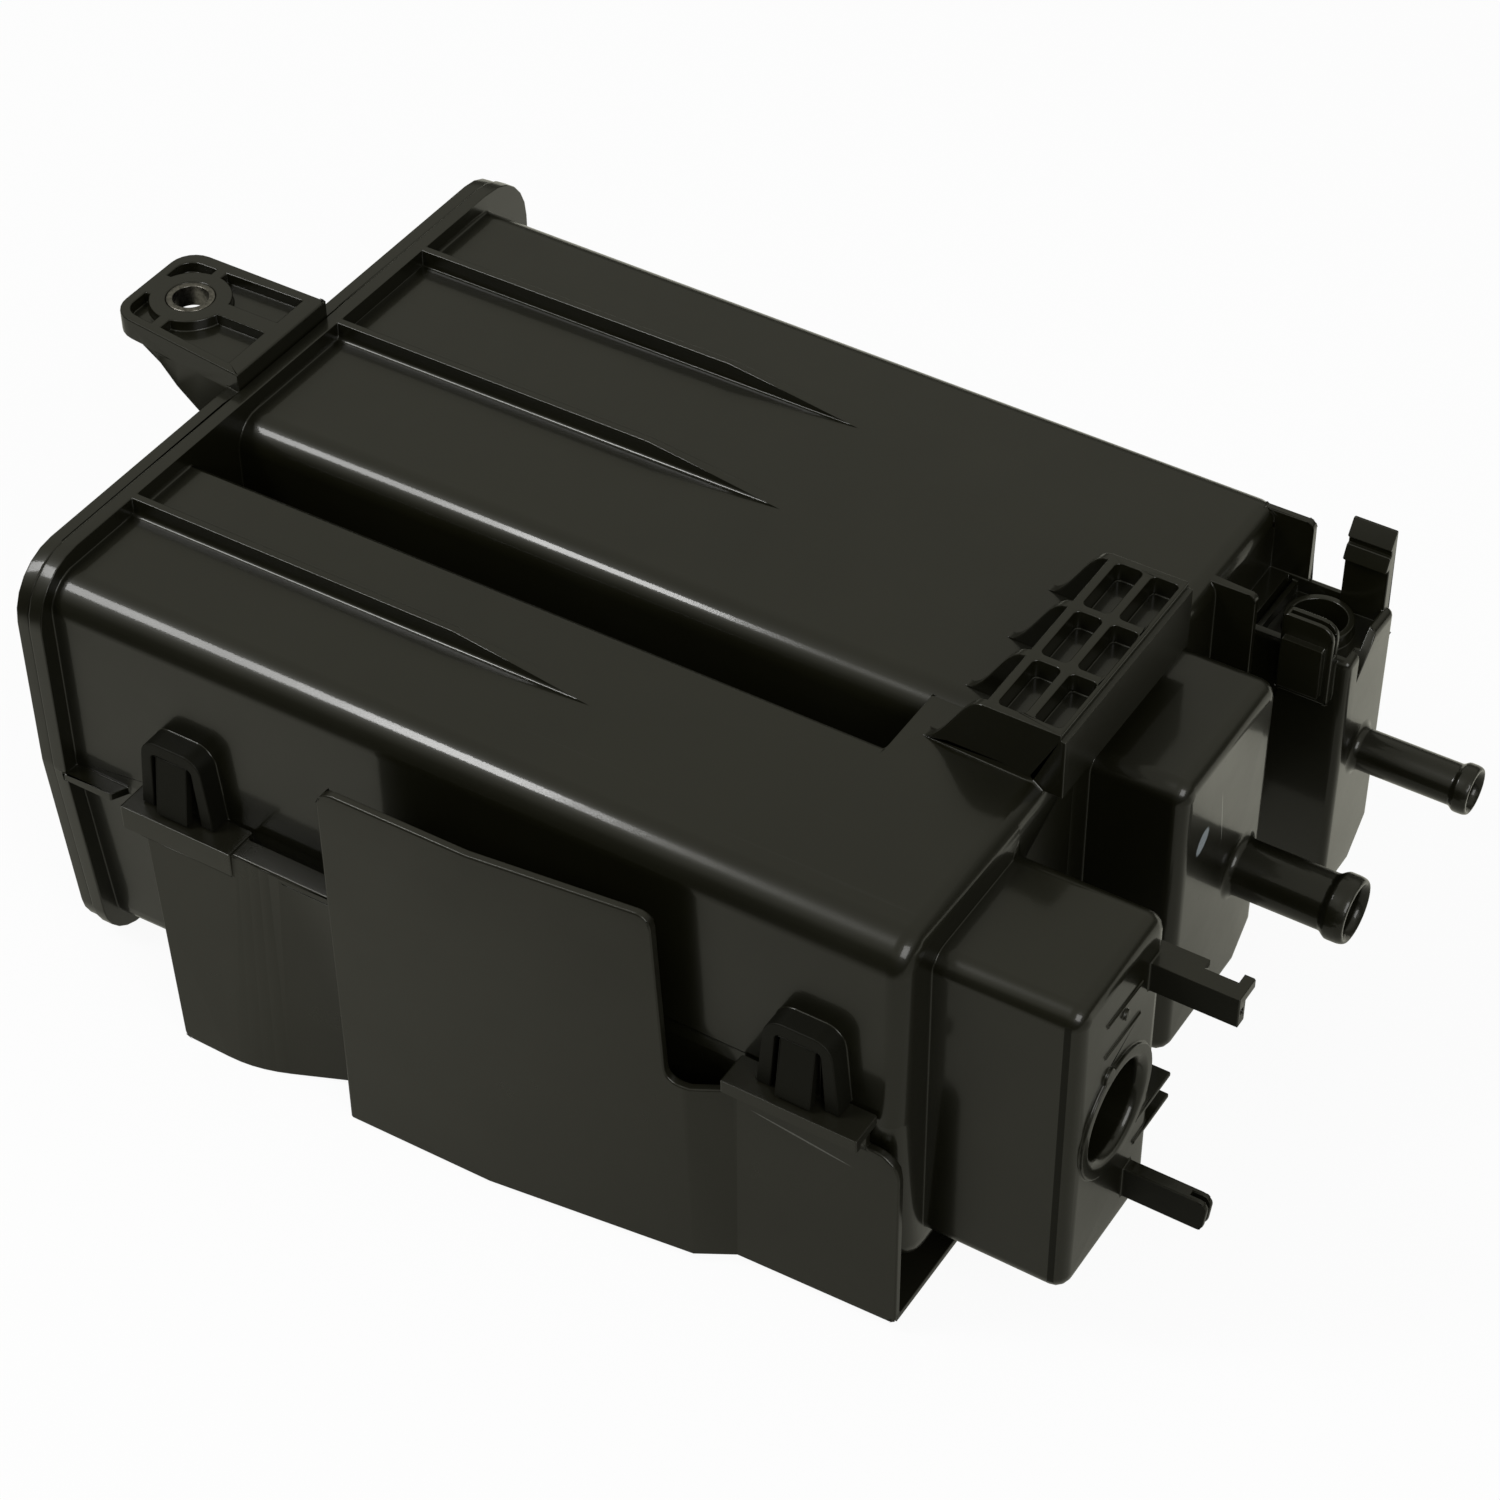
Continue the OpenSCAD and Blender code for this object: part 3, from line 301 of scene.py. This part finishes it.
# %% Three plastics
housing_black = moulded_plastic("housing_black", ((0.0042, 0.0041, 0.0015), (0.0064, 0.0062, 0.0025)),
                                gloss=(0.3, 0.4), grain=0.2, specular=0.26, skin=0.5, dabs=tank_face_reflection_and_line)
shield_black = moulded_plastic("shield_black", ((0.0075, 0.0072, 0.0042), (0.011, 0.0106, 0.0066)),
                               gloss=(0.26, 0.36), grain=0.4, specular=0.46, skin=0.0, dabs=shield_dabs)
# A darker, duller copy of the black, used as painted shade on the loops and the fingers' near sides.
painted_shade_black = moulded_plastic("painted_shade_black", ((0.003, 0.003, 0.0014), (0.005, 0.0049, 0.0022)),
                             gloss=(0.5, 0.62), grain=0.5, specular=0.2, skin=0.0)
print("plastics:", housing_black.name, shield_black.name, painted_shade_black.name)

# %% [markdown]
# ## Steel, carbon and felt
# The bush is zinc-plated steel, turned and then rolled in a barrel, so its gloss and its colour are a
# little cloudy. The carbon and the felt are inside, and show only if a piece is lifted out, but they still
# get the grain that the real ones have.

# %% Other finishes
grain_depth = 0.3 * MM
grain_ends = (0.35, 0.65)


def grained(name, tones, scale, roughness, bump, metal=0.0):
    """A finish with two mixed tones and a bumpy grain of one size."""
    made, tree, shader, place = new_finish(name, Metallic=metal)
    grain = noise(tree, place, scale, detail=4.0, roughness=0.6)
    tree.links.new(two_tones(tree, grain, grain_ends, tones), shader.inputs["Base Color"])
    tree.links.new(spread(tree, grain, (0.0, 1.0), roughness), shader.inputs["Roughness"])
    tree.links.new(bumped(tree, grain, bump, grain_depth), shader.inputs["Normal"])
    return made


plated_steel = grained("plated_steel", ((0.1, 0.096, 0.085), (0.22, 0.21, 0.19)),
                       scale=900, roughness=(0.22, 0.4), bump=0.15, metal=1.0)
spring_wire = grained("spring_wire", ((0.3, 0.3, 0.31), (0.5, 0.5, 0.52)),
                      scale=1500, roughness=(0.25, 0.45), bump=0.1, metal=1.0)
carbon_grain = grained("carbon_grain", ((0.004, 0.004, 0.004), (0.03, 0.03, 0.03)),
                       scale=700, roughness=(0.7, 0.95), bump=1.0)
felt_pad = grained("felt_pad", ((0.35, 0.35, 0.32), (0.6, 0.6, 0.56)),
                   scale=1800, roughness=(0.85, 1.0), bump=0.8)
print("finishes:", plated_steel.name, spring_wire.name, carbon_grain.name, felt_pad.name)

# %% [markdown]
# ## Which edges are rounded
# A moulding has no knife edges, because the mould is cut with round tools. Nearly every sharp edge gets a
# fine rounding. The inner edges of the pocket floors on top are rounder, and so are the weld seam and the
# long edges of the two fingers. The hose stubs are round already, and the bridge lies flush with the vent
# chamber's nose, so both are left out.

# %% Edge weights
chamber_top = -9 * MM
seam_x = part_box("housing")[0][0]
seam_share, finger_share = 1.7, 2.0
sharp_angle = math.radians(38)
on_plane = 0.2 * MM
pocket_end_x, pocket_near_y = 190 * MM, -34 * MM
joint_start_x, joint_floor_z = 255 * MM, -40 * MM
joint_near_y, joint_far_y = -54 * MM, -42 * MM
finger_foot = 0.5 * MM
finger_root = mount_places["vent_port"][0] - finger_foot
finger_far = -44 * MM
long_finger_edge = 9 * MM
stub_foot = 4 * MM
tank_stub_root, tank_stub_reach = 288 * MM, 11 * MM
purge_stub_root, purge_stub_reach = 296 * MM, 9 * MM
hose_stubs = [(mount_places["tank_port"], tank_stub_root, tank_stub_reach),
              (mount_places["purge_port"], purge_stub_root, purge_stub_reach)]


def left_sharp(ends):
    """Whether an edge lies on a hose stub or in the flush joint of the bridge."""
    for (_, y, z), root, reach in hose_stubs:
        if all(end.x > root + stub_foot and math.hypot(end.y - y, end.z - z) < reach for end in ends):
            return True
    return all(end.x > joint_start_x and joint_near_y < end.y < joint_far_y and end.z > joint_floor_z
               for end in ends)


def edge_share(edge, ends, fine, has_pockets):
    """The share of the widest bevel that a sharp edge gets."""
    on_floor = all(abs(end.z - chamber_top) < on_plane and (end.x < pocket_end_x or end.y < pocket_near_y)
                   for end in ends)
    if has_pockets and on_floor and edge.calc_face_angle_signed() < 0:
        return 1.0
    on_finger = all(end.x > finger_root and end.y < finger_far for end in ends)
    if on_finger and abs(ends[0].x - ends[1].x) > long_finger_edge:
        return finger_share * fine
    at_seam = all(abs(end.x - seam_x) < on_plane for end in ends)
    return min(1.0, seam_share * fine) if at_seam else fine


def edge_weights(mesh, fine, has_pockets):
    """Marks the sharp edges of a mesh for the bevel, and counts them."""
    work = bmesh.new()
    work.from_mesh(mesh)
    weight = work.edges.layers.float.new("bevel_weight_edge")
    marked = 0
    for edge in work.edges:
        if len(edge.link_faces) != 2 or edge.calc_face_angle() < sharp_angle:
            continue
        ends = [corner.co for corner in edge.verts]
        if left_sharp(ends):
            continue
        edge[weight] = edge_share(edge, ends, fine, has_pockets)
        marked += 1
    work.to_mesh(mesh)
    work.free()
    return marked


print("weld seam at", round(seam_x, 4), "fingers from", round(finger_root, 4))

# %% [markdown]
# ## The seen mouldings
# Each seen node is copied, its triangles are joined at their corners, and a bevel rounds the marked edges
# so that they catch the light. In a tight corner a bevel can throw a point off the surface, so any such
# point is brought back to the solid. The copy then stands for the node, in exactly the same place.

# %% Soften a node
weld_distance = 0.002 * MM
bevel_steps = 3
farthest_share = 0.36
smooth_angle = math.radians(34)
flat_weight = 100


def joined_copy(node_name):
    """A copy of a node, selected and active, whose triangles share their corners."""
    made = bpy.data.objects.new(node_name + "_moulding", nodes[node_name].data.copy())
    bpy.context.scene.collection.objects.link(made)
    bpy.ops.object.select_all(action="DESELECT")
    made.select_set(True)
    bpy.context.view_layer.objects.active = made
    bpy.ops.object.mode_set(mode="EDIT")
    bpy.ops.mesh.select_all(action="SELECT")
    bpy.ops.mesh.remove_doubles(threshold=weld_distance)
    bpy.ops.object.mode_set(mode="OBJECT")
    return made


def put_back(mesh, solid, reach):
    """Brings any point that the bevel threw off the solid back to the nearest place on it."""
    moved = 0
    for point in mesh.vertices:
        place_on, _, _, away = solid.find_nearest(point.co)
        if away > reach:
            point.co = place_on
            moved += 1
    return moved


def softened(node_name, width, finish, widest=None):
    """A copy of a node with rounded edges, which stands for the node."""
    made = joined_copy(node_name)
    mesh = made.data
    widest = widest or width
    solid = BVHTree.FromPolygons([point.co.copy() for point in mesh.vertices],
                                 [list(face.vertices) for face in mesh.polygons])
    marked = edge_weights(mesh, width / widest, has_pockets=node_name == "housing")
    bevel = made.modifiers.new("edges", "BEVEL")
    bevel.width = widest
    bevel.segments = bevel_steps
    bevel.limit_method = "WEIGHT"
    bevel.use_clamp_overlap = False
    bpy.ops.object.modifier_apply(modifier=bevel.name)
    moved = put_back(mesh, solid, farthest_share * widest)
    mesh.attributes.remove(mesh.attributes["bevel_weight_edge"])
    bpy.ops.object.shade_smooth_by_angle(angle=smooth_angle)
    flat = made.modifiers.new("flat_faces", "WEIGHTED_NORMAL")
    flat.weight = flat_weight
    flat.keep_sharp = True
    bpy.ops.object.modifier_apply(modifier=flat.name)
    mesh.materials.clear()
    mesh.materials.append(finish)
    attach(made, "root")
    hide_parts(node_name)
    print(made.name, len(mesh.polygons), "faces,", marked, "edges softened,", moved, "points put back")
    return made


# %% Four seen mouldings
housing = softened("housing", 0.35 * MM, housing_black, widest=1.6 * MM)
softened("rear_cover", 0.4 * MM, housing_black, widest=0.7 * MM)
softened("side_shield", 0.5 * MM, shield_black)
softened("mount_bush", 0.3 * MM, plated_steel)

# %% [markdown]
# ## Painted shade on the loops and fingers
# The two snap loops on the vent chamber's side and the near sides of the two fingers take a darker, duller
# copy of the black plastic, a painted shade for the dark surroundings that they mirror. They are part of
# the same moulding, so they aren't made as pieces of their own: their faces just take this second finish,
# chosen by where they are and, on the fingers, by which way they face.

# %% Painted shade on the loops and fingers
loop_middles = (70 * MM, 241 * MM)
loop_half = 15 * MM
loop_back_y = -99.2 * MM
loop_floor_z, loop_top_z = -62 * MM, -28 * MM
finger_shank = 3 * MM
nearly_square = 0.95


def on_loop(spot):
    """Whether a place is on one of the snap loops."""
    return (spot.y < loop_back_y and loop_floor_z < spot.z < loop_top_z
            and any(abs(spot.x - middle) < loop_half for middle in loop_middles))


def on_finger_side(spot, normal):
    """Whether a face is on the near side of a finger."""
    return spot.x > finger_root + finger_shank and spot.y < finger_far and normal.y < -nearly_square


# The second slot holds the painted shade.
housing.data.materials.append(painted_shade_black)
painted_shade_faces = 0
for face in housing.data.polygons:
    if on_loop(face.center) or on_finger_side(face.center, face.normal):
        face.material_index = 1
        painted_shade_faces += 1
print("dull faces:", painted_shade_faces)

# %% [markdown]
# ## Inner pieces
# The beds, pads, plates and springs keep their own solids, because their shapes are right and nobody
# sees them in the closed canister. They only take their finishes.

# %% Finish the inner nodes
inner_finish = {"carbon": carbon_grain, "felt": felt_pad, "moulded_plastic": housing_black,
                "spring_steel": spring_wire}
inner_count = 0
for entry in frame["record"]["subparts"]:
    inside = nodes[entry["node"]]
    if inside.hide_render:
        continue
    inside.data.materials.clear()
    inside.data.materials.append(inner_finish[entry["material_slot"]])
    inner_count += 1
print("inner nodes finished:", inner_count)

# %% [markdown]
# ## Floor
# The ground is plain white, so the floor is nearly plain white to the camera and keeps only a faint
# shadow. The black plastic mirrors the floor, and the tones on its walls set the levels that glossy rays
# see: darker far in front of the part, painted shade under it and towards the ports, and painted light
# towards the back.

# %% Floor
lowest = solid_box[0][2]
floor_size = 12
floor_middle_x = 0.15
floor_tone = (0.82, 0.82, 0.82, 1)
floor_white = 0.94
warm_white = (1.0, 0.99, 0.84, 1)
floor_span_y = (-0.4, 0.2)
# Levels of the floor's glow in reflections: dark far in front, painted shade under the part, painted light
# behind it.
painted_floor_levels = ((0.08, 0.05), (0.33, 0.5), (0.65, 0.3), (0.9, 0.75))
port_side_painted_shade = 0.2
loss_span_x, loss_span_y = (-0.08, 0.1), (-0.05, -0.12)


def eased_grey(tree, value, levels):
    """A grey that eases from level to level as a value passes their positions."""
    made = add_node(tree, "ShaderNodeValToRGB")
    ramp = made.color_ramp
    ramp.interpolation = "EASE"
    ramp.elements[0].position, ramp.elements[1].position = levels[0][0], levels[-1][0]
    for position, _ in levels[1:-1]:
        ramp.elements.new(position)
    for stop, (_, grey) in zip(ramp.elements, levels):
        stop.color = (grey, grey, grey, 1)
    tree.links.new(value, made.inputs["Fac"])
    return made.outputs["Color"]


def chosen(tree, share, first, second):
    """Mixes two shaders by a share."""
    made = add_node(tree, "ShaderNodeMixShader")
    tree.links.new(share, made.inputs["Fac"])
    tree.links.new(first, made.inputs[1])
    tree.links.new(second, made.inputs[2])
    return made.outputs["Shader"]


def painted_reflection_level(tree):
    """How bright the floor is in reflections, by where it is: painted shade under the part and towards the
    ports, painted light towards the back.
    """
    apart = add_node(tree, "ShaderNodeSeparateXYZ")
    tree.links.new(add_node(tree, "ShaderNodeTexCoord").outputs["Object"], apart.inputs["Vector"])
    sweep = eased_grey(tree, spread(tree, apart.outputs["Y"], floor_span_y), painted_floor_levels)
    along = spread(tree, apart.outputs["X"], loss_span_x, (0.0, port_side_painted_shade), "SMOOTHSTEP")
    in_front = spread(tree, apart.outputs["Y"], loss_span_y, interpolation="SMOOTHSTEP")
    kept_share = maths(tree, "SUBTRACT", 1.0, maths(tree, "MULTIPLY", along, in_front))
    return maths(tree, "MULTIPLY", sweep, kept_share)


def floor_material():
    """Matt white with a shadow, nearly plain white to the camera, and glowing in reflections with painted
    shade and light.
    """
    made = bpy.data.materials.new("floor_white")
    made.use_nodes = True
    tree = made.node_tree
    tree.nodes.clear()
    ray = add_node(tree, "ShaderNodeLightPath")
    matt = add_node(tree, "ShaderNodeBsdfDiffuse", Color=floor_tone)
    mirrored = add_node(tree, "ShaderNodeEmission", Color=warm_white)
    tree.links.new(painted_reflection_level(tree), mirrored.inputs["Strength"])
    white = add_node(tree, "ShaderNodeEmission", Strength=1.0)
    lit = chosen(tree, ray.outputs["Is Glossy Ray"], matt.outputs["BSDF"], mirrored.outputs["Emission"])
    seen = maths(tree, "MULTIPLY", ray.outputs["Is Camera Ray"], floor_white)
    out = add_node(tree, "ShaderNodeOutputMaterial")
    tree.links.new(chosen(tree, seen, lit, white.outputs["Emission"]), out.inputs["Surface"])
    return made


bpy.ops.object.select_all(action="DESELECT")
bpy.ops.mesh.primitive_plane_add(size=floor_size, location=(floor_middle_x, 0, lowest))
floor = bpy.context.object
floor.name = "floor"
floor.data.materials.append(floor_material())
print("floor at", lowest)

# %% [markdown]
# ## Sky
# The studio round the part is a soft white dome that darkens towards the horizon. The dark horizon is what
# draws the shaded line under each rounded edge. Behind the part the camera sees plain white.

# %% Sky
horizon_level, sky_level = 0.08, 0.5
horizon_span = (0.2, 0.6)
plain_white = (1, 1, 1, 1)

sky = bpy.data.worlds.new("studio_sky")
bpy.context.scene.world = sky
sky.use_nodes = True
tree = sky.node_tree
tree.nodes.clear()
ray = add_node(tree, "ShaderNodeLightPath")
heading = add_node(tree, "ShaderNodeSeparateXYZ")
tree.links.new(add_node(tree, "ShaderNodeTexCoord").outputs["Generated"], heading.inputs["Vector"])
soft = add_node(tree, "ShaderNodeBackground")
rise = spread(tree, heading.outputs["Z"], horizon_span, (horizon_level, sky_level), "SMOOTHSTEP")
tree.links.new(rise, soft.inputs["Strength"])
warmth = add_node(tree, "ShaderNodeMix", data_type="RGBA", A=plain_white, B=warm_white)
tree.links.new(ray.outputs["Is Glossy Ray"], warmth.inputs["Factor"])
tree.links.new(warmth.outputs["Result"], soft.inputs["Color"])
white = add_node(tree, "ShaderNodeBackground", Strength=1.0)
dome = chosen(tree, ray.outputs["Is Camera Ray"], soft.outputs["Background"], white.outputs["Background"])
tree.links.new(dome, add_node(tree, "ShaderNodeOutputWorld").inputs["Surface"])
print("sky:", horizon_level, "to", sky_level)

# %% [markdown]
# ## Lamps
# Bright lines run along the rounded long edges and fade towards the ports. They are the image of a soft box
# high on the left, so a broad lamp with a brighter core stands there. A weak fill on the right opens the
# faces with the ports.

# %% Lamps
lamp_aim = Vector((0.15, 0, -0.06))
lamp_distance = 1.6


def soft_lamp(name, toward, size, power):
    """A lamp that faces the middle of the part from the given direction, with its width along X."""
    data = bpy.data.lights.new(name, "AREA")
    data.shape = "RECTANGLE"
    data.size, data.size_y = size
    data.energy = power
    lamp = bpy.data.objects.new(name, data)
    bpy.context.scene.collection.objects.link(lamp)
    outward = Vector(toward).normalized()
    lamp.location = lamp_aim + outward * lamp_distance
    along = (Vector((1, 0, 0)) - outward * outward.x).normalized()
    lamp.rotation_euler = Matrix((along, outward.cross(along), outward)).transposed().to_euler()
    return lamp


lamps = [soft_lamp("left_box", toward=(-0.51, -0.4, 0.76), size=(0.46, 0.42), power=7),
         soft_lamp("left_core", toward=(-0.43, -0.41, 0.8), size=(0.15, 0.42), power=2.2),
         soft_lamp("right_fill", toward=(0.7, -0.45, 0.55), size=(0.8, 0.8), power=9)]
print("lamps:", [lamp.name for lamp in lamps])

# %% [markdown]
# ## Colour
# The picture uses the plain Standard transform.

# %% Finish
bpy.context.scene.view_settings.view_transform = "Standard"
